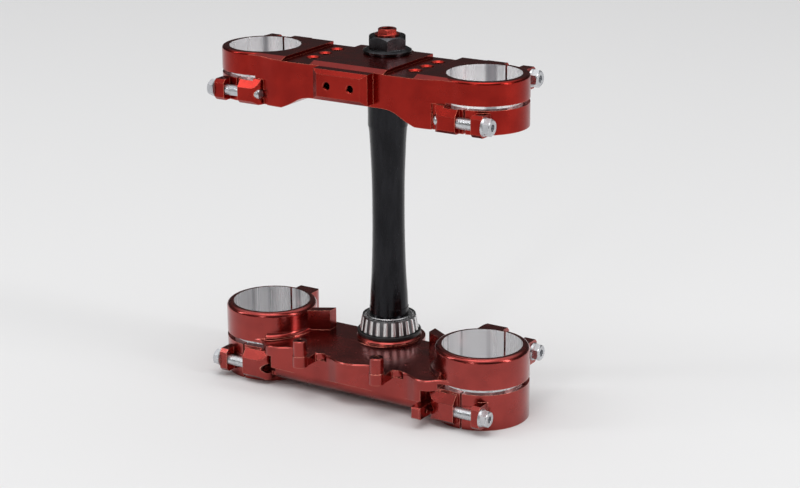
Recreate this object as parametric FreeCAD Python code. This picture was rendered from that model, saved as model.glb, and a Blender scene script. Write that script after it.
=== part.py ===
import FreeCAD, Part
import math
import os

# Motorcycle triple clamp: two milled clamps that hold the fork tubes, joined by the steering stem.
# Millimetres. +X runs along the line of the two forks, +Y points to the rear of the motorcycle,
# +Z is up along the steering axis. The origin is on that axis, on the underside of the lower clamp.

V = FreeCAD.Vector

# Forks
fork_spacing = 190.0        # between the two fork axes
fork_offset = 22.0          # fork axes ahead of the steering axis
upper_bore_r = 27.0         # fork tube radius in the upper clamp
lower_bore_r = 29.75        # fork tube radius in the lower clamp

# Upper clamp
upper_bottom = 220.8        # height of its underside above the origin
upper_height = 37.4
upper_wall = 5.6            # wall of the fork rings
upper_slot_level = 17.4     # underside of the level slot, above the clamp's own underside
upper_slot = 3.0
upper_slot_inboard = 13.0   # the slot starts this far inboard of the fork axis
upper_front_y = -55.8       # flat front face
upper_front_flat = 60.0     # half width of the flat part
upper_front_blend = 22.0    # length of the curve from the flat part to the rings
upper_rear_y = 13.0
stem_wall = 4.8             # metal round the stem behind the beam
upper_round = 1.9           # rounded top edge of the rings
fork_lead = 4.8             # lead-in at the lower end of its fork bores
fork_lead_out = 0.5         # how much wider the bore is there
arch_rise = 10.2            # arch under the beam
arch_flat = 29.0            # half width of the level crown of the arch
arch_foot = 57.5            # where the arch ends
channel_inner = 31.5        # the two sunk channels for the handlebar mounts
channel_width = 25.1
channel_depth = 2.4
bar_hole_r = 4.25           # tapped holes for the handlebar mounts
bar_hole_mouth = 1.4        # countersink of those holes
bar_hole_pitch = 16.0
bar_hole_mid_y = -17.0
bar_holes = 3
facet_length = 5.8          # strip along the top that falls to the front face
facet_drop = 2.2
block_half = 23.2           # block with two tapped holes on the front face
block_proud = 10.6
block_top_below = 2.2       # top of the block below the top face
block_height = 22.8
block_frame = 4.8           # width of the sloping frame at the sides of its front
block_frame_high = 3.2      # and above and below it
block_frame_depth = 2.9
block_hole_r = 2.5
block_hole_pitch = 20.0
block_hole_depth = 14.0
block_hole_mouth = 0.7

front_sink = 0.8            # both beams end this far behind the fronts of their rings

# Lower clamp
lower_height = 54.7
lower_wall = 5.55
lower_slot_level = 27.5
lower_slot = 3.7
lower_slot_inboard = 17.0
lower_rim_round = 3.7       # round of the top of the rings
wall_y = -58.3              # flat parts of the front wall
nose_reach = 6.1            # the wall bulges in the middle
nose_half = 24.0
shoulder_x = 68.0           # and again on each side, just before the rings
shoulder_reach = 5.5
shoulder_in = 21.0          # length of its inboard flank
shoulder_out = 15.0         # and of the outboard one
belly_z = 4.0               # underside between the rings
belly_round = 10.0          # round under the front wall
deck_z = 36.2               # deck round the stem
deck_level_y = -24.0        # ahead of this line the deck falls
deck_fall = 0.061           # its fall to the front, height for length
deck_edge = 0.8             # bevel of the deck's front edge
lower_rear_y = 3.0          # rear edge of the deck
hub_r = 28.0                # metal round the stem
seat_ring_r = 25.0          # round seat under the steering bearing
seat_ring_top = 38.8
seat_ring_bevel = 1.5
base_round = 3.3            # hollow round where the rings meet the deck
stop_inner_x = 45.0         # steering stop blocks, set at an angle to the deck
stop_front_y = -15.0
stop_top_z = 52.0
stop_thickness = 7.6
stop_angle = 31.0
stop_length = 24.0
post_r = 5.3                # two round posts in front of the wall
post_spacing = 68.4
post_ahead = 13.2           # post axes ahead of the flat wall
post_top_z = 48.0
post_bottom_z = 27.3
post_step_z = 35.8          # the post is a little thicker below this height
post_step = 0.5
post_edge = 0.6
post_neck = 10.0            # width of the neck that joins each post to the wall
post_hole_r = 2.25
post_hole_depth = 14.0
scoop_r = 6.0               # round scoop in the wall on the right of each post
scoop_floor_z = 29.0
scoop_from_post = 10.5
scoop_ahead = 4.2           # scoop axis ahead of the flat wall
tab_x = 70.0                # small tab with a cross hole at the lower right
tab_width = 8.0
tab_front_y = -76.0
tab_bottom_z = 8.0
tab_height = 9.0
tab_edge = 1.0
tab_hole_r = 1.8
tab_hole_back = 8.5         # cross hole behind the front of the tab

# Pinch joints of the rings, measured along X from the steering axis
slit = 1.6                  # vertical slit through each half ring
slit_outboard = 2.5         # slit outboard of the fork axis
bolt_r = 4.0
bolt_clearance = 0.3
bolt_to_bore = 7.2          # bolt axis outside the fork bore
lug_reach = 4.6             # lug beyond the bolt axis
lug_root = 6.0              # how far the lug runs into its ring
lug_bevel = 2.4
lug_start = 3.0             # the end of an inner lug begins this far behind the bolt axis
lug_lean = 0.05             # its slant, as shares of its length
lug_turn = 0.3
lug_slope = (4.9, 6.6)      # long bevel on top of the front lugs, back and up
pocket_depth = 2.3          # pocket in the front face, at the inboard end of each front lug
upper_gap = (93.5, 106.2)   # open space between the two lugs of a joint
upper_pocket_x = 71.0
upper_ledge = 18.8          # ceiling of the pocket above the clamp's underside
upper_lug_foot = 74.5       # inboard end of the inner lug
upper_lug_nose = 7.5        # length of its curved end
upper_bolt_tip = 75.4
upper_front_bolt_z = 228.7
upper_rear_bolt_z = 249.9
upper_front_end = 114.8     # outboard ends of the outer lugs
upper_rear_end = 115.0
lower_gap = (94.5, 109.6)
lower_pocket_x = 67.0
lower_ledge = 26.0
lower_lug_foot = 71.5
lower_lug_nose = 11.0
lower_bolt_tip = 80.0
lower_front_bolt_z = 13.2
lower_rear_bolt_z = 40.9
lower_front_end = 116.2
lower_rear_end = 118.3
rear_lug_foot = 76.0
rear_lug_nose = 5.0
rear_bolt_tip = 82.0
thread_end = 2.0            # blind thread beyond the bolt's tip
upper_lug_half = 7.9        # half height of the outer lugs
lower_lug_half = 9.0
flange_r = 6.9
flange_h = 1.4
hex_across = 11.3
hex_h = 5.0
socket_r = 2.6
socket_depth = 2.6

# Steering stem
seat_r = 15.0               # bearing and clamp seats
stem_bore_r = 8.5           # hollow stem, open at the bottom for a stand pin
lower_seat_top = 60.5
upper_seat_bottom = 203.0
seat_step = 0.3
waist = ((74.0, 14.1), (87.0, 13.3), (100.0, 12.85), (113.0, 12.5), (132.0, 12.3), (150.0, 12.35),
         (165.0, 12.6), (181.5, 13.25), (194.0, 13.85))
stem_neck_below = 6.0       # the seat ends this far under the top of the upper clamp
stem_thread_r = 12.5
cap_thread_r = 6.0
cap_thread_depth = 20.0
cap_shank_clear = 2.0

# Steering bearing and its dust seal
seal_r = 24.5
seal_base = 1.8
seal_lip = 1.1
seal_top_z = 42.0
race_top_z = 54.7
race_shoulder = 1.3         # lips at the two ends of the track
roller_count = 22
roller_length = 10.4
roller_big_r = 2.45
roller_small_r = 2.2
roller_tilt = 8.9
roller_mid_r = 19.6
roller_mid_z = 47.3
roller_gap = 0.1
cage_wall = 0.7
cage_out = 1.15             # inner face of the cage outside the roller axes
cage_end = 1.1              # cage beyond the ends of the rollers

# Nut, washer and cap screw
washer_r = 16.2
washer_h = 1.2
washer_clear = 0.2
nut_flange_r = 18.0
nut_flange_rim = 1.0
nut_flange_h = 2.3
nut_across = 27.0
nut_turn = -58.0
nut_height = 12.0
nut_crown = 3.2             # slope of the bevel over the corners
cap_flange_r = 9.3
cap_flange_h = 1.4
cap_head_across = 13.6
cap_head_h = 3.6
cap_socket_across = 8.0
cap_socket_depth = 3.2

# Worked out from the sizes above
fork_x = fork_spacing / 2
fork_y = -fork_offset
upper_top = upper_bottom + upper_height
upper_ring_r = upper_bore_r + upper_wall
lower_ring_r = lower_bore_r + lower_wall
upper_slot_z = upper_bottom + upper_slot_level
slit_x = fork_x + slit_outboard
nut_top_z = upper_top + washer_h + nut_height
stem_top = nut_top_z
neck_z = upper_top - stem_neck_below
race_bottom_z = seat_ring_top + seal_base
post_y = wall_y - post_ahead
far = 400.0
eps = 0.5


def box(x0, x1, y0, y1, z0, z1):
    return Part.makeBox(x1 - x0, y1 - y0, z1 - z0, V(x0, y0, z0))


def rod_x(r, x0, x1, y, z):
    return Part.makeCylinder(r, x1 - x0, V(x0, y, z), V(1, 0, 0))


def rod_y(r, y0, y1, x, z):
    return Part.makeCylinder(r, y1 - y0, V(x, y0, z), V(0, 1, 0))


def rod_z(r, z0, z1, x=0.0, y=0.0):
    return Part.makeCylinder(r, z1 - z0, V(x, y, z0))


def plate(points, run):
    """Closed outline of straight edges, carried along a vector."""
    wire = Part.makePolygon([V(*p) for p in points + points[:1]])
    return Part.Face(wire).extrude(run)


def turned(profile):
    """Outline of radius and height, turned about the steering axis."""
    wire = Part.makePolygon([V(r, 0, z) for r, z in profile + profile[:1]])
    return Part.Face(wire).revolve(V(0, 0, 0), V(0, 0, 1), 360)


def hexagon(across, z0, z1, x=0.0, y=0.0, turn=0.0):
    corner = across / math.sqrt(3)
    angles = [math.radians(60 * i + turn) for i in range(6)]
    points = [(x + corner * math.cos(a), y + corner * math.sin(a), z0) for a in angles]
    return plate(points, V(0, 0, z1 - z0))


def mirrored(shape):
    return shape.mirror(V(0, 0, 0), V(1, 0, 0))


def both_sides(shape):
    return [shape, mirrored(shape)]


def one_solid(shape):
    shape = shape.removeSplitter()
    return max(shape.Solids, key=lambda s: s.Volume) if shape.Solids else shape


def save(name, shape):
    shape.exportStep("parts/" + name + ".step")
    print(name, len(shape.Solids), round(shape.Volume, 1), shape.isValid())


def curve(poles):
    line = Part.BezierCurve()
    line.setPoles([V(*p) for p in poles])
    return line.toShape()


def line(a, b):
    return Part.makeLine(V(*a), V(*b))


def face_of(edges):
    return Part.Face(Part.Wire(Part.__sortEdges__(edges)))


def s_curve(a, b, z):
    """Curve between two points of a plan, running along X at both ends."""
    mid = (a[0] + b[0]) / 2
    return curve([(a[0], a[1], z), (mid, a[1], z), (mid, b[1], z), (b[0], b[1], z)])


def beam_plan(front, rear_y, z0, z1):
    """Beam seen from above: its front passes through the given points, the same on both sides."""
    edges = []
    for s in (-1, 1):
        for p, q in zip(front, front[1:]):
            a, b = (s * p[0], p[1]), (s * q[0], q[1])
            if p[1] == q[1]:
                edges.append(line((a[0], a[1], z0), (b[0], b[1], z0)))
            else:
                edges.append(s_curve(a, b, z0))
        x, y = front[-1]
        edges.append(line((s * x, y, z0), (s * x, rear_y, z0)))
    x = front[-1][0]
    edges.append(line((-x, rear_y, z0), (x, rear_y, z0)))
    return face_of(edges).extrude(V(0, 0, z1 - z0))


class Pinch:
    """One pinch joint of the right-hand rings: where its bolt, lugs and heads lie."""

    def __init__(self, bore_r, side, z, span, gap, foot, nose, end, tip, thread):
        self.y = fork_y + side * (bore_r + bolt_to_bore)
        self.z = z
        self.side = side
        self.span = span
        self.gap = gap
        self.foot = foot
        self.nose = nose
        self.end = end
        self.tip = tip
        self.thread = thread

    def block(self, x0, x1, z0, z1, slope):
        """Part of a lug between two planes: a bevel below and a slope on top."""
        tip = self.y + self.side * lug_reach
        root = self.y - self.side * (bolt_to_bore + lug_root)
        points = [(x0, root, z0), (x0, tip - self.side * lug_bevel, z0), (x0, tip, z0 + lug_bevel),
                  (x0, tip, z1 - slope[1]), (x0, tip - self.side * slope[0], z1), (x0, root, z1)]
        return plate(points, V(x1 - x0, 0, 0))

    def inner_plan(self):
        """Inner lug seen from above, with its curved inboard end."""
        tip = self.y + self.side * lug_reach
        root = self.y - self.side * (bolt_to_bore + lug_root)
        x0, x1, x2 = self.foot, self.foot + self.nose, self.gap[0]
        start = self.y - self.side * lug_start
        end = curve([(x0, start, 0), (x0 + self.nose * lug_lean, (start + tip) / 2, 0),
                     (x0 + self.nose * lug_turn, tip, 0), (x1, tip, 0)])
        edges = [end, line((x1, tip, 0), (x2, tip, 0)), line((x2, tip, 0), (x2, root, 0)),
                 line((x2, root, 0), (x0, root, 0)), line((x0, root, 0), (x0, start, 0))]
        return face_of(edges).extrude(V(0, 0, far))

    def lugs(self, half):
        """Threaded inner lug and plain outer lug."""
        slope = lug_slope if self.side < 0 else (lug_bevel, lug_bevel)
        inner = self.block(self.foot, self.gap[0], self.span[0], self.span[1], slope)
        outer = self.block(self.gap[1], self.end, self.z - half, self.z + half, (lug_bevel, lug_bevel))
        return inner.common(self.inner_plan()).fuse(outer)

    def holes(self):
        """Tapped hole in the inner lug, wider hole in the outer one."""
        middle = (self.gap[0] + self.gap[1]) / 2
        tapped = rod_x(bolt_r, self.thread, middle, self.y, self.z)
        return tapped.fuse(rod_x(bolt_r + bolt_clearance, middle, self.end + eps, self.y, self.z))


upper_pinches = (
    Pinch(upper_bore_r, -1, upper_front_bolt_z, (upper_bottom, upper_bottom + upper_ledge), upper_gap,
          upper_lug_foot, upper_lug_nose, upper_front_end, upper_bolt_tip, upper_pocket_x + eps),
    Pinch(upper_bore_r, 1, upper_rear_bolt_z, (upper_slot_z + upper_slot, upper_top), upper_gap,
          rear_lug_foot, rear_lug_nose, upper_rear_end, rear_bolt_tip, rear_bolt_tip - thread_end))
lower_pinches = (
    Pinch(lower_bore_r, -1, lower_front_bolt_z, (belly_z, lower_ledge), lower_gap,
          lower_lug_foot, lower_lug_nose, lower_front_end, lower_bolt_tip, lower_pocket_x + eps),
    Pinch(lower_bore_r, 1, lower_rear_bolt_z, (lower_slot_level + lower_slot, lower_height), lower_gap,
          rear_lug_foot, rear_lug_nose, lower_rear_end, rear_bolt_tip, rear_bolt_tip - thread_end))


def ring_cuts(bore_r, z0, z1, slot_z, slot, inboard, pinches):
    """Fork bore, level slot round the outside, the two opposed slits and the bolt holes."""
    cuts = [rod_z(bore_r, z0 - 1, z1 + 1, fork_x, fork_y)]
    cuts.append(box(fork_x - inboard, fork_x + far, fork_y - far, fork_y + far, slot_z, slot_z + slot))
    cuts.append(box(slit_x - slit / 2, slit_x + slit / 2, fork_y - far, fork_y, z0 - 1, slot_z + eps))
    top = slot_z + slot
    cuts.append(box(slit_x - slit / 2, slit_x + slit / 2, fork_y, fork_y + far, top - eps, z1 + 1))
    return cuts + [p.holes() for p in pinches]


def pocket(x0, x1, floor_y, z0, z1):
    """Pocket in the front of a beam, open to the front and below."""
    return box(x0, x1, floor_y - far, floor_y, z0 - far, z1)


def upper_arch():
    """Space under the beam: a level crown that comes down in a curve on each side."""
    z0 = upper_bottom
    z1 = upper_bottom + arch_rise
    y = upper_front_y - eps
    mid = (arch_flat + arch_foot) / 2
    low = z0 - 5
    edges = [line((-arch_flat, y, z1), (arch_flat, y, z1)), line((-arch_foot, y, low), (arch_foot, y, low))]
    for s in (-1, 1):
        poles = ((arch_flat, z1), (mid, z1), (mid, z0 + arch_rise / 2), (arch_foot, z0))
        edges.append(curve([(s * x, y, z) for x, z in poles]))
        edges.append(line((s * arch_foot, y, z0), (s * arch_foot, y, low)))
    return face_of(edges).extrude(V(0, far, 0))


def upper_facet():
    """Wedge taken off the top face, just behind the front face."""
    reach = fork_x
    y0 = upper_front_y - 1
    y1 = upper_front_y + facet_length
    fall = facet_drop * (y1 - y0) / facet_length
    points = [(-reach, y0, upper_top - fall), (-reach, y1, upper_top), (-reach, y1, upper_top + 5),
              (-reach, y0, upper_top + 5)]
    return plate(points, V(2 * reach, 0, 0))


def upper_beam():
    ring_front = fork_y - upper_ring_r + front_sink
    front = ((0.0, upper_front_y), (upper_front_flat, upper_front_y),
             (upper_front_flat + upper_front_blend, ring_front), (fork_x, ring_front))
    body = beam_plan(front, upper_rear_y, upper_bottom, upper_top)
    body = body.common(box(-upper_gap[0], upper_gap[0], -far, far, 0, far))
    boss = rod_z(seat_r + stem_wall, upper_bottom, upper_top)
    body = body.cut(upper_facet()).fuse(boss).cut(upper_arch())
    hollow = pocket(upper_pocket_x, far, upper_front_y + pocket_depth, upper_bottom,
                    upper_bottom + upper_ledge)
    return body.cut(both_sides(hollow))


def front_block():
    """Block on the front face, with a sloping frame round its front."""
    y0 = upper_front_y - block_proud
    y1 = y0 + block_frame_depth
    z1 = upper_top - block_top_below
    z0 = z1 - block_height
    outlines = []
    for side, high, y in ((0.0, 0.0, y1), (block_frame, block_frame_high, y0)):
        w = block_half - side
        corners = [(-w, y, z0 + high), (w, y, z0 + high), (w, y, z1 - high), (-w, y, z1 - high)]
        outlines.append(Part.makePolygon([V(*c) for c in corners + corners[:1]]))
    frame = Part.makeLoft(outlines, True, True)
    return frame.fuse(box(-block_half, block_half, y1, upper_front_y + 3, z0, z1))


def block_holes():
    y0 = upper_front_y - block_proud
    z = upper_top - block_top_below - block_height / 2
    holes = []
    for s in (-1, 1):
        x = s * block_hole_pitch / 2
        holes.append(rod_y(block_hole_r, y0 - 1, y0 + block_hole_depth, x, z))
        mouth = block_hole_r + block_hole_mouth
        holes.append(Part.makeCone(mouth, block_hole_r, block_hole_mouth, V(x, y0, z), V(0, 1, 0)))
    return holes


def channels():
    """Sunk strips across the top face, each with its row of tapped holes."""
    floor = upper_top - channel_depth
    cuts = []
    for s in (-1, 1):
        mid = s * (channel_inner + channel_width / 2)
        cuts.append(box(mid - channel_width / 2, mid + channel_width / 2, -far, far, floor, upper_top + 5))
        for i in range(bar_holes):
            y = bar_hole_mid_y + (i - (bar_holes - 1) / 2) * bar_hole_pitch
            cuts.append(rod_z(bar_hole_r, upper_bottom - 1, floor + 1, mid, y))
            r = bar_hole_r + bar_hole_mouth
            cuts.append(Part.makeCone(bar_hole_r, r, bar_hole_mouth, V(mid, y, floor - bar_hole_mouth)))
    return cuts


def top_rim(body, z):
    """Round edge at the top of an upright cylinder."""
    return [e for e in body.Edges if isinstance(e.Curve, Part.Circle) and e.Vertexes[0].Point.z > z - eps]


def ring(radius, z0, z1, edge):
    """Fork ring, rounded at its top."""
    body = rod_z(radius, z0, z1, fork_x, fork_y)
    return body.makeFillet(edge, top_rim(body, z1))


def make_upper_clamp():
    side = ring(upper_ring_r, upper_bottom, upper_top, upper_round)
    side = side.fuse([p.lugs(upper_lug_half) for p in upper_pinches])
    body = upper_beam().fuse([front_block()] + both_sides(side))
    cuts = ring_cuts(upper_bore_r, upper_bottom, upper_top, upper_slot_z, upper_slot, upper_slot_inboard,
                     upper_pinches)
    cuts.append(Part.makeCone(upper_bore_r + fork_lead_out, upper_bore_r, fork_lead,
                              V(fork_x, fork_y, upper_bottom)))
    cuts = cuts + [mirrored(c) for c in cuts] + block_holes() + channels()
    cuts.append(rod_z(stem_thread_r, upper_bottom - 1, upper_top + 1))
    cuts.append(rod_z(seat_r, upper_bottom - 1, neck_z))
    return one_solid(body.cut(cuts))


def above_deck():
    """Everything above the deck: level round the stem, falling gently ahead of it."""
    reach = 80.0
    y0 = deck_level_y - reach
    high = lower_height + 20
    low = deck_z - reach * deck_fall
    outline = [(y0, low), (deck_level_y, deck_z), (far, deck_z), (far, high), (y0, high)]
    return plate([(-fork_x, y, z) for y, z in outline], V(2 * fork_x, 0, 0))


def below_wall():
    """Space under the front wall: a round below its flat parts, a slope below its bulges."""
    y0, z0 = wall_y, belly_z + belly_round
    y1, z1 = wall_y + belly_round, belly_z
    c = math.sqrt(0.5)
    arc = Part.Arc(V(0, y0, z0), V(0, y1 - belly_round * c, z0 - belly_round * c), V(0, y1, z1)).toShape()
    out = 2 * belly_round
    corners = [(0, y1, z1), (0, y1, z1 - out), (0, y0 - out, z1 - out), (0, y0 - out, z0 + out / 2),
               (0, y0, z0)]
    edges = [arc] + [line(a, b) for a, b in zip(corners, corners[1:])]
    shape = face_of(edges).extrude(V(2 * fork_x, 0, 0))
    shape.translate(V(-fork_x, 0, 0))
    return shape


def steering_stop():
    """Slanted block between ring and stem, on the right-hand side."""
    a = math.radians(stop_angle)
    z0 = deck_z - 6
    rear_y = stop_front_y + stop_thickness / math.cos(a)
    fall = stop_length * math.sin(a)
    run = stop_length * math.cos(a)
    points = [(stop_inner_x, stop_front_y, z0), (stop_inner_x + run, stop_front_y - fall, z0),
              (stop_inner_x + run, rear_y - fall, z0), (stop_inner_x, rear_y, z0)]
    return plate(points, V(0, 0, stop_top_z - z0))


def ring_root():
    """Hollow round where the right-hand ring meets the deck."""
    r = lower_ring_r
    turn = base_round * (1 - math.sqrt(0.5))
    z = deck_z
    foot = z - 3
    arc = Part.Arc(V(r + base_round, 0, z), V(r + turn, 0, z + turn), V(r, 0, z + base_round)).toShape()
    inside, outside = r - 2, r + base_round
    edges = [line((inside, 0, foot), (outside, 0, foot)), line((outside, 0, foot), (outside, 0, z)), arc,
             line((r, 0, z + base_round), (inside, 0, z + base_round)),
             line((inside, 0, z + base_round), (inside, 0, foot))]
    skirt = face_of(edges).revolve(V(0, 0, 0), V(0, 0, 1), 360)
    skirt.translate(V(fork_x, fork_y, 0))
    plan = beam_plan(wall_points(), lower_rear_y, z - 5, z + 10)
    return skirt.common(plan).common(box(0, fork_x - lower_slot_inboard, -far, far, 0, far))


def wall_points():
    """Front wall of the lower clamp seen from above, from the middle to the ring."""
    ring_front = fork_y - lower_ring_r + front_sink
    shoulder_y = wall_y - shoulder_reach
    return ((0.0, wall_y - nose_reach), (nose_half, wall_y), (shoulder_x - shoulder_in, wall_y),
            (shoulder_x, shoulder_y), (shoulder_x + shoulder_out, ring_front), (fork_x, ring_front))


def lower_beam():
    """Deck between the rings, raised and rounded underneath."""
    body = beam_plan(wall_points(), lower_rear_y, belly_z, deck_z + 5)
    body = body.common(box(-lower_gap[0], lower_gap[0], -far, far, 0, far))
    body = body.cut([above_deck(), below_wall()])
    edges = [e for e in body.Edges if e.BoundBox.YMax < wall_y + 2 and e.BoundBox.ZMin > deck_z - 5]
    body = body.makeChamfer(deck_edge, edges)
    return body.cut(both_sides(pocket(lower_pocket_x, far, wall_y + pocket_depth, 0, lower_ledge)))


def posts():
    """Two round posts joined to the front wall by necks, with a tapped hole in the top of each."""
    shapes = []
    holes = []
    for s in (-1, 1):
        x = s * post_spacing / 2
        post = rod_z(post_r, post_bottom_z, post_top_z, x, post_y)
        post = post.makeChamfer(post_edge, top_rim(post, post_top_z))
        foot = rod_z(post_r + post_step, post_bottom_z, post_step_z, x, post_y)
        half = post_neck / 2
        neck = box(x - half, x + half, post_y, wall_y + 2, post_bottom_z, deck_z).cut(above_deck())
        shapes.append(post.fuse([foot, neck]))
        holes.append(rod_z(post_hole_r, post_top_z - post_hole_depth, post_top_z + 1, x, post_y))
    return shapes, holes


def scoops():
    """One round scoop in the wall, on the right of each post."""
    places = [s * post_spacing / 2 + scoop_from_post for s in (-1, 1)]
    return [rod_z(scoop_r, scoop_floor_z, lower_height, x, wall_y - scoop_ahead) for x in places]


def tab():
    x0 = tab_x - tab_width / 2
    x1 = tab_x + tab_width / 2
    z = tab_bottom_z
    body = box(x0, x1, tab_front_y, wall_y + pocket_depth + 2, z, z + tab_height)
    front = [e for e in body.Edges if all(abs(v.Point.y - tab_front_y) < 1e-6 for v in e.Vertexes)]
    body = body.makeChamfer(tab_edge, front)
    return body, rod_x(tab_hole_r, x0 - 1, x1 + 1, tab_front_y + tab_hole_back, z + tab_height / 2)


def make_lower_clamp():
    side = ring(lower_ring_r, 0, lower_height, lower_rim_round)
    side = side.fuse([p.lugs(lower_lug_half) for p in lower_pinches] + [steering_stop(), ring_root()])
    post_shapes, post_holes = posts()
    tab_shape, tab_cut = tab()
    hub = rod_z(hub_r, belly_z, deck_z)
    top = seat_ring_top
    seat = turned([(0, 0), (seat_ring_r, 0), (seat_ring_r, top - seat_ring_bevel),
                   (seat_ring_r - seat_ring_bevel, top), (0, top)])
    beam = lower_beam().cut(scoops())
    body = beam.fuse([hub, seat, tab_shape] + post_shapes + both_sides(side))
    cuts = ring_cuts(lower_bore_r, 0, lower_height, lower_slot_level, lower_slot, lower_slot_inboard,
                     lower_pinches)
    cuts = cuts + [mirrored(c) for c in cuts] + post_holes + [tab_cut]
    cuts.append(rod_z(seat_r, -1, top + 1))
    return one_solid(body.cut(cuts))


def make_stem():
    """Hollow stem: two bearing seats, a long smooth waist between them and a threaded top."""
    low = (seat_r - seat_step, lower_seat_top)
    high = (seat_r - seat_step, upper_seat_bottom)
    spline = Part.BSplineCurve()
    points = [low] + [(r, z) for z, r in waist] + [high]
    spline.interpolate([V(r, 0, z) for r, z in points])
    r, b, c = seat_r, stem_bore_r, cap_thread_r
    foot = stem_top - cap_thread_depth
    t = stem_thread_r
    corners = [(r, upper_seat_bottom), (r, neck_z), (t, neck_z), (t, stem_top), (c, stem_top), (c, foot),
               (b, foot - 3), (b, 0), (r, 0), (r, lower_seat_top), low]
    edges = [spline.toShape(), line((high[0], 0, high[1]), (r, 0, upper_seat_bottom))]
    for p, q in zip(corners, corners[1:]):
        edges.append(line((p[0], 0, p[1]), (q[0], 0, q[1])))
    return one_solid(face_of(edges).revolve(V(0, 0, 0), V(0, 0, 1), 360))


def roller_point(t):
    """Point of a roller's axis, t from -0.5 at its lower end to 0.5 at its upper end."""
    a = math.radians(roller_tilt)
    along = t * roller_length
    return V(roller_mid_r - along * math.sin(a), 0, roller_mid_z + along * math.cos(a))


def around(shape):
    """The same shape at the place of every roller."""
    copies = []
    for i in range(roller_count):
        copy = shape.copy()
        copy.rotate(V(0, 0, 0), V(0, 0, 1), 360.0 * i / roller_count)
        copies.append(copy)
    return copies


def make_rollers():
    low = roller_point(-0.5)
    high = roller_point(0.5)
    roller = Part.makeCone(roller_big_r, roller_small_r, roller_length, low, high - low)
    return Part.makeCompound(around(roller))


def make_race():
    """Inner ring: cone-shaped track between two low lips."""
    a = math.radians(roller_tilt)
    n = V(math.cos(a), 0, math.sin(a))
    reach = 0.5 + 0.15 / roller_length
    low = roller_point(-reach) - n * (roller_big_r + roller_gap)
    high = roller_point(reach) - n * (roller_small_r + roller_gap)
    lip = n * race_shoulder
    base, top = low + lip, high + lip
    return turned([(seat_r, race_bottom_z), (base.x, race_bottom_z), (base.x, base.z), (low.x, low.z),
                   (high.x, high.z), (top.x, top.z), (top.x, race_top_z - 0.4), (top.x - 0.4, race_top_z),
                   (seat_r, race_top_z)])


def make_cage():
    """Cone-shaped cage with one window for each roller."""
    a = math.radians(roller_tilt)
    n = V(math.cos(a), 0, math.sin(a))
    reach = 0.5 + cage_end / roller_length
    low = roller_point(-reach)
    high = roller_point(reach)
    inner, outer = n * cage_out, n * (cage_out + cage_wall)
    cage = turned([(q.x, q.z) for q in (low + inner, low + outer, high + outer, high + inner)])
    gap = roller_gap
    reach = 0.5 + gap / roller_length
    start = roller_point(-reach)
    window = Part.makeCone(roller_big_r + gap, roller_small_r + gap, roller_length + 2 * gap, start,
                           roller_point(reach) - start)
    return one_solid(cage.cut(around(window)))


def make_seal():
    """Dust seal under the bearing, with a raised lip round its edge."""
    z0 = seat_ring_top
    z1 = z0 + seal_base
    return turned([(seat_r + 0.1, z0), (seal_r - 0.8, z0), (seal_r, z0 + 0.8), (seal_r, seal_top_z - 0.3),
                   (seal_r - 0.3, seal_top_z), (seal_r - seal_lip, seal_top_z), (seal_r - seal_lip, z1),
                   (seat_r + 0.1, z1)])


def make_washer():
    z0 = upper_top
    z1 = z0 + washer_h
    r = stem_thread_r + washer_clear
    return turned([(r, z0), (washer_r, z0), (washer_r, z1 - 0.4), (washer_r - 0.4, z1), (r, z1)])


def make_nut():
    """Hexagon nut with a sloping flange, its corners bevelled at the top."""
    z0 = upper_top + washer_h
    z1 = z0 + nut_flange_h
    r = stem_thread_r
    corner = nut_across / math.sqrt(3)
    rim = z0 + nut_flange_rim
    flange = turned([(r, z0), (nut_flange_r, z0), (nut_flange_r, rim), (corner, z1), (r, z1)])
    crown = turned([(0, z0), (corner + 1, z0), (corner + 1, nut_top_z - nut_crown),
                    (nut_across / 2 - 0.5, nut_top_z), (0, nut_top_z)])
    hexa = hexagon(nut_across, z0 + 1, nut_top_z, turn=nut_turn).common(crown)
    return one_solid(flange.fuse(hexa).cut(rod_z(r, z0 - 1, nut_top_z + 1)))


def make_cap_screw():
    """Screw in the top of the stem: flange, low hexagon head and hexagon socket."""
    z0 = stem_top
    z1 = z0 + cap_flange_h
    z2 = z1 + cap_head_h
    rim = turned([(0, z0), (cap_flange_r, z0), (cap_flange_r, z1 - 0.3), (cap_flange_r - 0.3, z1), (0, z1)])
    corner = cap_head_across / math.sqrt(3)
    crown = turned([(0, z0), (corner + 1, z0), (corner + 1, z2 - 1.6), (cap_head_across / 2 - 0.4, z2),
                    (0, z2)])
    head = hexagon(cap_head_across, z0, z2, turn=nut_turn).common(crown)
    shank = rod_z(cap_thread_r, z0 - cap_thread_depth + cap_shank_clear, z0)
    socket = hexagon(cap_socket_across, z2 - cap_socket_depth, z2 + 1, turn=nut_turn)
    return one_solid(rim.fuse([head, shank]).cut(socket))


def make_bolt(pinch):
    """Pinch bolt of the right-hand side: shank, washer face and low hexagon head."""
    y, z, seat = pinch.y, pinch.z, pinch.end
    tip = pinch.tip
    out = V(1, 0, 0)
    shank = Part.makeCylinder(bolt_r, seat - tip - 1, V(tip + 1, y, z), out)
    point = Part.makeCone(bolt_r - 0.8, bolt_r, 1, V(tip, y, z), out)
    flange = Part.makeCone(flange_r, flange_r - 0.7, flange_h, V(seat, y, z), out)
    corner = hex_across / math.sqrt(3)
    end = seat + flange_h + hex_h
    angles = [math.radians(60 * i + 30) for i in range(6)]
    points = [(seat + flange_h / 2, y + corner * math.cos(a), z + corner * math.sin(a)) for a in angles]
    hexa = plate(points, V(end - points[0][0], 0, 0))
    crown = Part.makeCone(corner + 4.6, hex_across / 2 - 0.4, 5.0, V(end - 5.0, y, z), out)
    dimple = rod_x(socket_r, end - socket_depth, end + 1, y, z)
    return one_solid(shank.fuse([point, flange, hexa.common(crown)]).cut(dimple))


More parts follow.
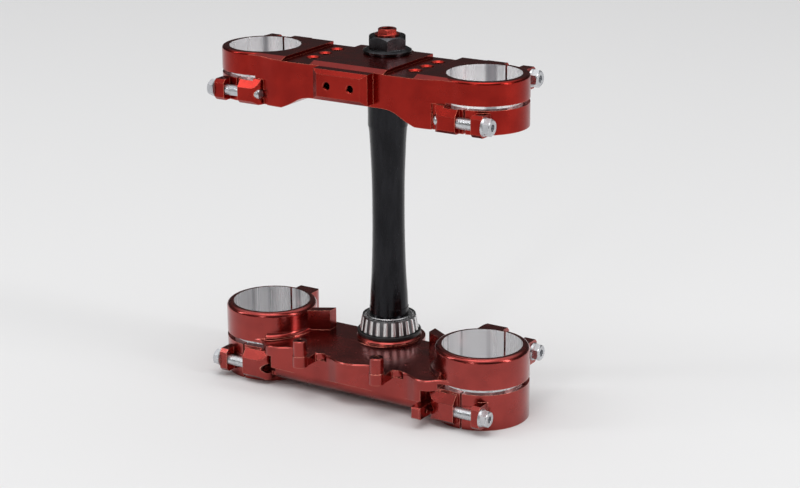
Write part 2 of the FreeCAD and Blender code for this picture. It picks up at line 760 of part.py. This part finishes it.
def main():
    os.makedirs("parts", exist_ok=True)
    save("upper_clamp", make_upper_clamp())
    save("lower_clamp", make_lower_clamp())
    save("steering_stem", make_stem())
    save("bearing_inner_race", make_race())
    save("bearing_rollers", make_rollers())
    save("bearing_cage", make_cage())
    save("bearing_dust_seal", make_seal())
    save("stem_washer", make_washer())
    save("stem_nut", make_nut())
    save("stem_cap_screw", make_cap_screw())
    for level, pinches in (("upper", upper_pinches), ("lower", lower_pinches)):
        for end, pinch in zip(("front", "rear"), pinches):
            bolt = make_bolt(pinch)
            save(level + "_right_" + end + "_bolt", bolt)
            save(level + "_left_" + end + "_bolt", mirrored(bolt))


main()
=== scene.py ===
import math

import bpy
import numpy as np
from mathutils import Matrix, Vector

# Motorcycle triple clamp in red anodised aluminium. Metres, in the frame of the CAD model:
# +X along the line of the forks, +Y to the rear, +Z up along the steering axis.

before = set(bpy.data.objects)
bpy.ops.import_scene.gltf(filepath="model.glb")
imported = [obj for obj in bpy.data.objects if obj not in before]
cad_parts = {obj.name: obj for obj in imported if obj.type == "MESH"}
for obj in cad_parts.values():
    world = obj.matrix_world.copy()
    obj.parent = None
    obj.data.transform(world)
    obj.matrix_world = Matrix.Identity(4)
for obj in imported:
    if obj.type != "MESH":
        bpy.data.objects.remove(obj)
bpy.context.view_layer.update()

MM = 0.001
NO_STRETCH = (1.0, 1.0, 1.0)

# Camera at the photograph's place, with its angles in degrees
CAMERA_PLACE = (0.76221, -1.19651, 0.56317)
CAMERA_AZIMUTH = 32.152
CAMERA_FALL = 17.73
CAMERA_ROLL = -0.283
CAMERA_NEAR, CAMERA_FAR = 0.05, 60.0
FOCAL_PIXELS = 1957.36
PICTURE_WIDTH = 800.0
SENSOR_WIDTH = 36.0

# The fork bores. The skin outside a bore's radius still counts as its bare wall.
FORK_X = 95 * MM
FORK_Y = -22 * MM
UPPER_BORE = 27 * MM
LOWER_BORE = 29.75 * MM
BORE_SKIN = 0.12 * MM
# Dark and pale upright bands painted on the bare bore walls as reflections of the surroundings, and
# the noise levels between which they change.
REFLECTION_BAND_DARK = (0.36, 0.36, 0.38)
REFLECTION_BAND_LIGHT = (0.98, 0.98, 0.99)
REFLECTION_BAND_FROM, REFLECTION_BAND_TO = 0.36, 0.50
BARE_ROUGHNESS = (0.22, 0.34)

# The anodised skin, and how metallic it is outside and inside the bores
SATIN_ROUGHNESS = (0.22, 0.28)
METALLIC = (1.0, 0.55)

# The thread of the pinch bolts, which ends under their heads
BOLT_PITCH = 1.25 * MM
THREAD_END = 113.5 * MM
THREAD_DEPTH = 0.2 * MM
THREAD_STRENGTH = 0.2

# Paler edges, from wear and a painted highlight, start where the rounded normal's dot product with the
# true one is the first value below and are full at the second. Patches spread the middle of the noise,
# PATCH_LOW to PATCH_HIGH, over 0 to 1.
EDGE_SAMPLES = 6
WEAR_AND_HIGHLIGHT_FROM, WEAR_AND_HIGHLIGHT_FULL = 0.995, 0.80
PATCH_LOW, PATCH_HIGH = 0.3, 0.7
GRAIN_DEPTH = 0.1 * MM

# Stage. A light is its name, its place, the point that it looks at, its width and height, and watts.
FLOOR_HALF = 30.0
FLOOR_BELOW = 0.1 * MM
FLOOR_COLOUR = (0.80, 0.80, 0.80)
FLOOR_ROUGHNESS = 0.9
LIGHTS = (
    ("overhead", (0.2, -0.6, 4.2), (0, 0, 0.1), (2.6, 2.6), 46),
    ("front_left", (-2.1, -1.5, 1.5), (0, 0, 0.12), (0.35, 1.9), 13),
    ("front", (0.35, -2.6, 1.0), (0, 0, 0.12), (0.30, 1.7), 7),
    ("right", (2.2, 0.1, 1.0), (0, 0, 0.12), (0.35, 1.7), 14))
SKY_FROM, SKY_TO = 0.50, 0.85
SKY_LOW = (0.055, 0.055, 0.055)
SKY_HIGH = (1.15, 1.15, 1.16)
BACKDROP = (0.77, 0.77, 0.77)


def camera():
    """Camera that sees what the photograph shows: it looks back along a turned and falling line."""
    azimuth, fall, roll = [math.radians(a) for a in (CAMERA_AZIMUTH, CAMERA_FALL, CAMERA_ROLL)]
    level = math.cos(fall)
    back = Vector((math.sin(azimuth) * level, -math.cos(azimuth) * level, math.sin(fall)))
    right = Vector((math.cos(azimuth), math.sin(azimuth), 0))
    up = back.cross(right)
    side = math.cos(roll) * right + math.sin(roll) * up
    top = -math.sin(roll) * right + math.cos(roll) * up
    data = bpy.data.cameras.new("camera")
    data.sensor_width = SENSOR_WIDTH
    data.lens = FOCAL_PIXELS * SENSOR_WIDTH / PICTURE_WIDTH
    data.clip_start = CAMERA_NEAR
    data.clip_end = CAMERA_FAR
    cam = bpy.data.objects.new("camera", data)
    turn = Matrix((side, top, back)).transposed().to_4x4()
    cam.matrix_world = Matrix.Translation(Vector(CAMERA_PLACE)) @ turn
    bpy.context.scene.collection.objects.link(cam)
    bpy.context.scene.camera = cam


camera()


class Nodes:
    """Short way to build a node tree: each call makes one node and fills or links its inputs."""

    def __init__(self, tree):
        self.tree = tree

    def put(self, socket, value):
        """Link another socket to this one, or set it to a constant."""
        if isinstance(value, bpy.types.NodeSocket):
            self.tree.links.new(value, socket)
        elif socket.type == "RGBA":
            socket.default_value = (*value[:3], 1.0)
        else:
            socket.default_value = value

    def new(self, kind, inputs=None, **facts):
        node = self.tree.nodes.new(kind)
        for name, value in facts.items():
            setattr(node, name, value)
        for name, value in (inputs or {}).items():
            self.put(node.inputs[name], value)
        return node

    def math(self, operation, a, b=0.0):
        return self.new("ShaderNodeMath", {0: a, 1: b}, operation=operation).outputs[0]

    def ramp(self, value, low, high):
        """0 up to the low value, 1 from the high one, smooth between them."""
        inputs = {0: value, 1: low, 2: high}
        return self.new("ShaderNodeMapRange", inputs, interpolation_type="SMOOTHSTEP").outputs[0]

    def blend(self, factor, a, b):
        """Number between two others."""
        return self.new("ShaderNodeMix", {0: factor, 2: a, 3: b}, data_type="FLOAT").outputs[0]

    def mix(self, factor, a, b):
        """Colour between two others."""
        return self.new("ShaderNodeMix", {0: factor, 6: a, 7: b}, data_type="RGBA").outputs[2]

    def place(self):
        """Position on the part."""
        return self.new("ShaderNodeTexCoord").outputs["Object"]

    def noise(self, scale, stretch, detail):
        """Noise on the part, drawn out along the axes whose stretch is small."""
        where = self.new("ShaderNodeMapping", {"Vector": self.place(), "Scale": stretch}).outputs[0]
        inputs = {"Vector": where, "Scale": scale, "Detail": detail}
        return self.new("ShaderNodeTexNoise", inputs).outputs[0]

    def rounded(self, radius):
        """Normal of the surface with its edges rounded."""
        return self.new("ShaderNodeBevel", {"Radius": radius}, samples=EDGE_SAMPLES).outputs[0]

    def bump(self, strength, distance, height, normal):
        inputs = {"Strength": strength, "Distance": distance, "Height": height, "Normal": normal}
        return self.new("ShaderNodeBump", inputs).outputs[0]

    def effect(self, tree, **values):
        """One of the shared effects, with this material's own values."""
        return self.new("ShaderNodeGroup", values, node_tree=tree).outputs


def shared_effect(name, inputs, outputs):
    """Node group with named sockets. Each has a kind, and an input may have a value too."""
    tree = bpy.data.node_groups.new(name, "ShaderNodeTree")
    for label, kind, *value in inputs:
        socket = tree.interface.new_socket(name=label, in_out="INPUT", socket_type="NodeSocket" + kind)
        if value:
            socket.default_value = value[0]
    for label, kind in outputs:
        tree.interface.new_socket(name=label, in_out="OUTPUT", socket_type="NodeSocket" + kind)
    n = Nodes(tree)
    return n, n.new("NodeGroupInput").outputs, n.new("NodeGroupOutput").inputs


def edge_wear_and_highlight():
    """Mask of the edges, for wear and a painted highlight: how far the normal of a slightly rounded
    surface turns from the true one.
    """
    n, given, out = shared_effect(
        "edge_wear_and_highlight", [("Radius", "Float", 0.5 * MM), ("Amount", "Float", 1.0)], [("Mask", "Float")])
    normals = {0: n.new("ShaderNodeNewGeometry").outputs["Normal"], 1: n.rounded(given["Radius"])}
    turn = n.new("ShaderNodeVectorMath", normals, operation="DOT_PRODUCT").outputs["Value"]
    n.put(out["Mask"], n.math("MULTIPLY", n.ramp(turn, WEAR_AND_HIGHLIGHT_FROM, WEAR_AND_HIGHLIGHT_FULL), given["Amount"]))
    return n.tree


def mottling():
    """Soft patches between 0 and 1."""
    n, given, out = shared_effect(
        "mottling",
        [("Scale", "Float", 100.0), ("Stretch", "Vector", NO_STRETCH), ("Detail", "Float", 5.0)],
        [("Mask", "Float")])
    patches = n.noise(given["Scale"], given["Stretch"], given["Detail"])
    n.put(out["Mask"], n.ramp(patches, PATCH_LOW, PATCH_HIGH))
    return n.tree


def grain():
    """Fine tooling marks that tilt a normal a little."""
    n, given, out = shared_effect(
        "grain",
        [("Scale", "Float", 1800.0), ("Stretch", "Vector", NO_STRETCH), ("Detail", "Float", 3.0),
         ("Strength", "Float", 0.05), ("Normal", "Vector")],
        [("Normal", "Vector")])
    marks = n.noise(given["Scale"], given["Stretch"], given["Detail"])
    n.put(out["Normal"], n.bump(given["Strength"], GRAIN_DEPTH, marks, given["Normal"]))
    return n.tree


def fork_bore():
    """Bare walls of a clamp's two fork bores: where they are, their painted upright reflection bands
    and their roughness.

    A point is inside where its distance from the axis at (FORK_X, FORK_Y), mirrored to both sides,
    is less than the bore's radius and the skin."""
    n, given, out = shared_effect(
        "fork_bore", [("Radius", "Float", UPPER_BORE)],
        [("Inside", "Float"), ("Color", "Color"), ("Roughness", "Float")])
    parts = n.new("ShaderNodeSeparateXYZ", {0: n.place()}).outputs
    dx = n.math("SUBTRACT", n.math("ABSOLUTE", parts[0]), FORK_X)
    dy = n.math("SUBTRACT", parts[1], FORK_Y)
    distance = n.math("SQRT", n.math("ADD", n.math("MULTIPLY", dx, dx), n.math("MULTIPLY", dy, dy)))
    n.put(out["Inside"], n.math("LESS_THAN", distance, n.math("ADD", given["Radius"], BORE_SKIN)))
    # Upright bands painted into the bare wall's colour: painted reflections of the surroundings, not a
    # tint of the metal.
    bands = n.noise(scale=75.0, stretch=(1, 1, 0.01), detail=3.0)
    n.put(out["Color"], n.mix(n.ramp(bands, REFLECTION_BAND_FROM, REFLECTION_BAND_TO), REFLECTION_BAND_DARK, REFLECTION_BAND_LIGHT))
    fine = n.noise(scale=150.0, stretch=(1, 1, 0.02), detail=2.0)
    n.put(out["Roughness"], n.blend(n.ramp(fine, PATCH_LOW, PATCH_HIGH), *BARE_ROUGHNESS))
    return n.tree


EDGE_WEAR_AND_HIGHLIGHT = edge_wear_and_highlight()
MOTTLING = mottling()
GRAIN = grain()
FORK_BORE = fork_bore()


def material(name, metallic=0.0, coat=0.0, coat_roughness=0.1):
    mat = bpy.data.materials.new(name)
    mat.use_nodes = True
    mat.node_tree.nodes.clear()
    n = Nodes(mat.node_tree)
    constants = {"Metallic": metallic, "Coat Weight": coat, "Coat Roughness": coat_roughness}
    shader = n.new("ShaderNodeBsdfPrincipled", constants)
    n.new("ShaderNodeOutputMaterial", {0: shader.outputs[0]})
    return mat, n, shader.inputs


def anodised(name, bore, deep, light, glint, coat):
    """Red anodised aluminium with paler edges, partly wear and partly a painted highlight, bare and
    bright inside the fork bores, whose upright bands are painted reflections.
    """
    mat, n, shader = material(name, coat=coat, coat_roughness=0.15)
    bare = n.effect(FORK_BORE, Radius=bore)
    inside = bare["Inside"]
    red = n.mix(n.effect(MOTTLING, Scale=55.0, Detail=4.0)["Mask"], deep, light)
    # Edges mixed toward the pale glint colour: wear, and a painted highlight.
    red = n.mix(n.effect(EDGE_WEAR_AND_HIGHLIGHT, Radius=0.7 * MM, Amount=0.8)["Mask"], red, glint)
    # Inside the bores the colour is the painted reflection bands of the bare wall.
    n.put(shader["Base Color"], n.mix(inside, red, bare["Color"]))
    n.put(shader["Metallic"], n.blend(inside, *METALLIC))
    satin = n.blend(n.effect(MOTTLING, Scale=90.0, Detail=5.0)["Mask"], *SATIN_ROUGHNESS)
    n.put(shader["Roughness"], n.blend(inside, satin, bare["Roughness"]))
    marks = n.effect(GRAIN, Scale=2600.0, Stretch=(0.12, 1, 1), Detail=2.0, Strength=0.03,
                     Normal=n.rounded(0.35 * MM))
    n.put(shader["Normal"], marks["Normal"])
    return mat


def thread_ribs(n, normal):
    """Ribs of the bolts' threads along X: a sine of the distance from the middle plane."""
    x = n.math("ABSOLUTE", n.new("ShaderNodeSeparateXYZ", {0: n.place()}).outputs[0])
    wave = n.math("SINE", n.math("MULTIPLY", x, 2 * math.pi / BOLT_PITCH))
    ribs = n.math("MULTIPLY", wave, n.math("LESS_THAN", x, THREAD_END))
    return n.bump(THREAD_STRENGTH, THREAD_DEPTH, ribs, normal)


def plain_finish(name, dark, light, rough, scale=120.0, stretch=NO_STRETCH, coat=0.0, edge=0.0,
                 metallic=1.0, threaded=False):
    """Surface of one colour with a slow change of tone, a fine grain and, if asked, lighter edges from
    wear and a painted highlight.
    """
    mat, n, shader = material(name, metallic=metallic, coat=coat)
    colour = n.mix(n.effect(MOTTLING, Scale=scale, Stretch=stretch)["Mask"], dark, light)
    if edge:
        # Lighter edge colour: wear along the edges, and a painted highlight.
        bright = tuple(min(1.0, c * 1.5 + 0.08) for c in light)
        colour = n.mix(n.effect(EDGE_WEAR_AND_HIGHLIGHT, Radius=0.4 * MM, Amount=edge)["Mask"], colour, bright)
    n.put(shader["Base Color"], colour)
    patches = n.effect(MOTTLING, Scale=2.3 * scale, Stretch=stretch, Detail=4.0)["Mask"]
    n.put(shader["Roughness"], n.blend(patches, *rough))
    normal = n.rounded(0.25 * MM)
    if threaded:
        normal = thread_ribs(n, normal)
    n.put(shader["Normal"], n.effect(GRAIN, Stretch=stretch, Normal=normal)["Normal"])
    return mat


# Finish of each node. The eight pinch bolts share one, and the washer has that of the nut.
FINISH = {
    "upper_clamp": anodised(
        "red_upper", UPPER_BORE, deep=(0.25, 0.010, 0.006), light=(0.32, 0.015, 0.009),
        glint=(0.90, 0.26, 0.17), coat=0.14),
    # The lower clamp's paler, pinker red and brighter edges are a painted reflection of the pale floor
    # on the same anodising as the upper clamp.
    "lower_clamp": anodised(
        "red_lower", LOWER_BORE, deep=(0.28, 0.026, 0.020), light=(0.35, 0.036, 0.028),
        glint=(0.92, 0.36, 0.27), coat=0.6),
    "steering_stem": plain_finish(
        "black_stem", dark=(0.010, 0.010, 0.012), light=(0.018, 0.018, 0.021), rough=(0.20, 0.30),
        scale=200.0, stretch=(1, 1, 0.2), metallic=0.9, coat=0.1),
    "bearing_inner_race": plain_finish(
        "ground_steel", dark=(0.50, 0.50, 0.51), light=(0.62, 0.62, 0.63), rough=(0.2, 0.3), edge=0.3),
    "bearing_rollers": plain_finish(
        "roller_steel", dark=(0.80, 0.80, 0.80), light=(0.92, 0.92, 0.92), rough=(0.18, 0.26),
        scale=60.0, metallic=0.7),
    # The cage is painted dark: painted shade in the gaps between the rollers.
    "bearing_cage": plain_finish(
        "cage_steel", dark=(0.10, 0.10, 0.105), light=(0.16, 0.16, 0.165), rough=(0.3, 0.4), edge=0.4),
    "bearing_dust_seal": plain_finish(
        "seal_rubber", dark=(0.010, 0.010, 0.010), light=(0.018, 0.018, 0.018), rough=(0.4, 0.55),
        metallic=0.0),
    "stem_nut": plain_finish(
        "nut_steel", dark=(0.030, 0.030, 0.033), light=(0.060, 0.060, 0.064), rough=(0.24, 0.36),
        edge=0.5),
    "stem_cap_screw": plain_finish(
        "red_cap", dark=(0.30, 0.035, 0.026), light=(0.36, 0.048, 0.036), rough=(0.26, 0.34),
        edge=0.3),
    "bolt": plain_finish(
        "zinc_bolt", dark=(0.50, 0.51, 0.53), light=(0.62, 0.63, 0.65), rough=(0.24, 0.34),
        scale=90.0, edge=0.4, metallic=0.85, threaded=True),
}
FINISH["stem_washer"] = FINISH["stem_nut"]


def finish_nodes():
    """Give every CAD node its finish."""
    for name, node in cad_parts.items():
        node.data.materials.clear()
        node.data.materials.append(FINISH["bolt" if name.endswith("_bolt") else name])


finish_nodes()


def pale_floor():
    """Level square just under the part: its corners are (+-FLOOR_HALF, +-FLOOR_HALF, -FLOOR_BELOW)."""
    signs = np.array([(-1, -1), (1, -1), (1, 1), (-1, 1)])
    corners = np.column_stack((FLOOR_HALF * signs, np.full(len(signs), -FLOOR_BELOW)))
    mesh = bpy.data.meshes.new("floor")
    mesh.from_pydata(corners.tolist(), [], [tuple(range(len(signs)))])
    mat, n, shader = material("floor")
    n.put(shader["Base Color"], FLOOR_COLOUR)
    n.put(shader["Roughness"], FLOOR_ROUGHNESS)
    mesh.materials.append(mat)
    floor = bpy.data.objects.new("floor", mesh)
    bpy.context.scene.collection.objects.link(floor)


def soft_light(name, place, target, size, power):
    """Rectangular light that looks at a target."""
    data = bpy.data.lights.new(name, "AREA")
    data.shape = "RECTANGLE"
    data.size, data.size_y = size
    data.energy = power
    lamp = bpy.data.objects.new(name, data)
    aim = (Vector(target) - Vector(place)).to_track_quat("-Z", "Y")
    lamp.matrix_world = Matrix.Translation(Vector(place)) @ aim.to_matrix().to_4x4()
    bpy.context.scene.collection.objects.link(lamp)


def surroundings():
    """Dark round the sides and bright overhead, behind a plain pale backdrop that the camera sees."""
    world = bpy.data.worlds.new("studio")
    bpy.context.scene.world = world
    world.use_nodes = True
    world.node_tree.nodes.clear()
    n = Nodes(world.node_tree)
    direction = n.new("ShaderNodeTexCoord").outputs["Generated"]
    height = n.new("ShaderNodeSeparateXYZ", {0: direction}).outputs[2]
    soft = n.mix(n.ramp(height, SKY_FROM, SKY_TO), SKY_LOW, SKY_HIGH)
    seen = n.new("ShaderNodeLightPath").outputs["Is Camera Ray"]
    sky = n.new("ShaderNodeBackground", {"Color": n.mix(seen, soft, BACKDROP)})
    n.new("ShaderNodeOutputWorld", {0: sky.outputs[0]})
    bpy.context.scene.view_settings.view_transform = "Standard"


pale_floor()
for light in LIGHTS:
    soft_light(*light)
surroundings()
